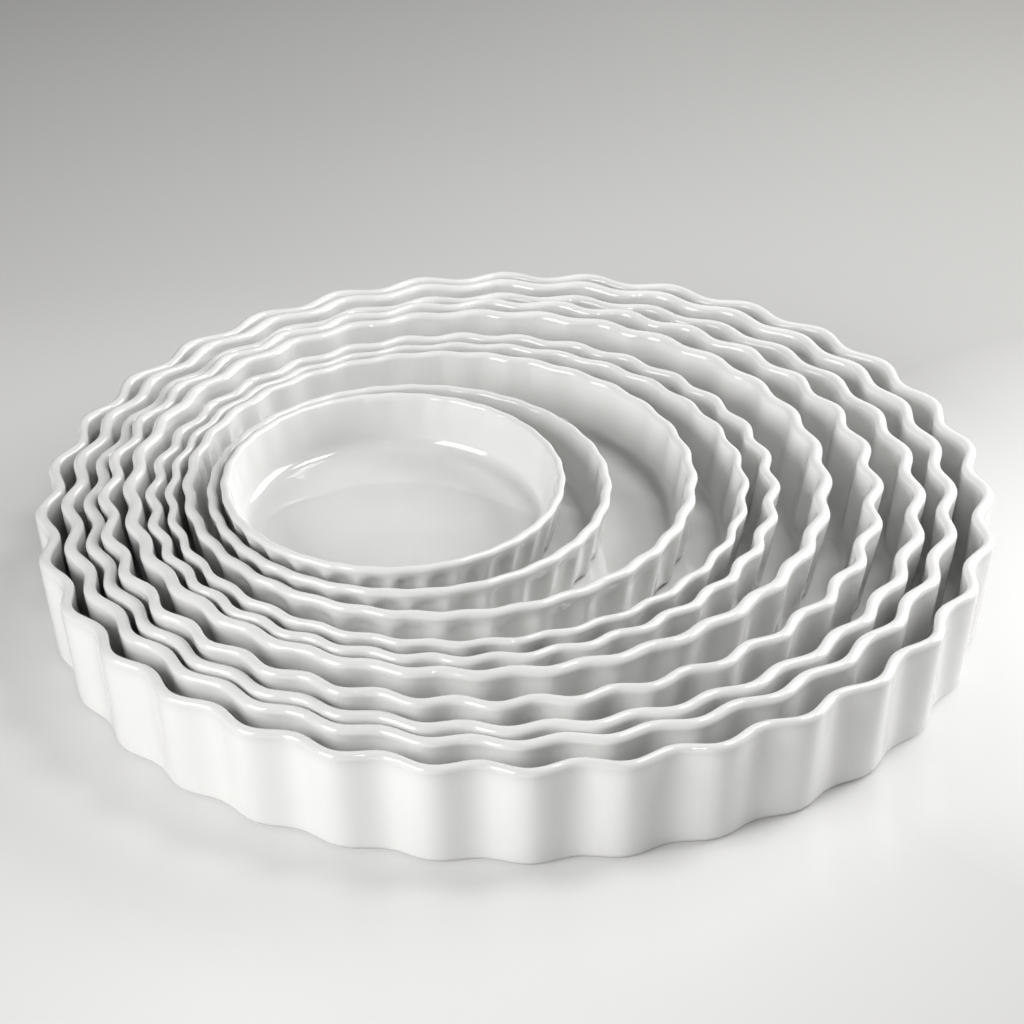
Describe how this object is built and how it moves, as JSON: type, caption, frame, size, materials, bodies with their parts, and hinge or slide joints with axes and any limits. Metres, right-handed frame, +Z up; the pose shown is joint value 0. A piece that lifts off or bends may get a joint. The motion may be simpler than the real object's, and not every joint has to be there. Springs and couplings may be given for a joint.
{
  "type": "nested set of fluted quiche dishes",
  "caption": "Nest of round porcelain quiche dishes with fluted walls, rounded rims and flat floors, each standing inside the next larger one and lifting straight out.",
  "frame": {"origin": "centre of the largest dish's foot ring, on the table that the nest stands on", "axes": "+Z up, out of the open dishes; +X to the right of the picture's view; +Y away from its viewer"},
  "size_m": [0.3299, 0.3298, 0.0572],
  "materials": {
    "white_glaze": "gloss"
  },
  "bodies": {
    "dish_33": {"dish_33_cm": "white_glaze"},
    "dish_31": {"dish_31_cm": "white_glaze"},
    "dish_29": {"dish_29_cm": "white_glaze"},
    "dish_27": {"dish_27_cm": "white_glaze"},
    "dish_24": {"dish_24_cm": "white_glaze"},
    "dish_22": {"dish_22_cm": "white_glaze"},
    "dish_20": {"dish_20_cm": "white_glaze"},
    "dish_18": {"dish_18_cm": "white_glaze"},
    "dish_14": {"dish_14_cm": "white_glaze"},
    "dish_12": {"dish_12_cm": "white_glaze"}
  },
  "joints": [
    {"name": "lift_dish_31", "type": "slide", "parent": "dish_33", "child": "dish_31", "axis": [0, 0, 1], "range_m": [0, 0.05]},
    {"name": "lift_dish_29", "type": "slide", "parent": "dish_31", "child": "dish_29", "axis": [0, 0, 1], "range_m": [0, 0.05]},
    {"name": "lift_dish_27", "type": "slide", "parent": "dish_29", "child": "dish_27", "axis": [0, 0, 1], "range_m": [0, 0.05]},
    {"name": "lift_dish_24", "type": "slide", "parent": "dish_27", "child": "dish_24", "axis": [0, 0, 1], "range_m": [0, 0.05]},
    {"name": "lift_dish_22", "type": "slide", "parent": "dish_24", "child": "dish_22", "axis": [0, 0, 1], "range_m": [0, 0.05]},
    {"name": "lift_dish_20", "type": "slide", "parent": "dish_22", "child": "dish_20", "axis": [0, 0, 1], "range_m": [0, 0.05]},
    {"name": "lift_dish_18", "type": "slide", "parent": "dish_20", "child": "dish_18", "axis": [0, 0, 1], "range_m": [0, 0.05]},
    {"name": "lift_dish_14", "type": "slide", "parent": "dish_18", "child": "dish_14", "axis": [0, 0, 1], "range_m": [0, 0.05]},
    {"name": "lift_dish_12", "type": "slide", "parent": "dish_14", "child": "dish_12", "axis": [0, 0, 1], "range_m": [0, 0.05]}
  ]
}
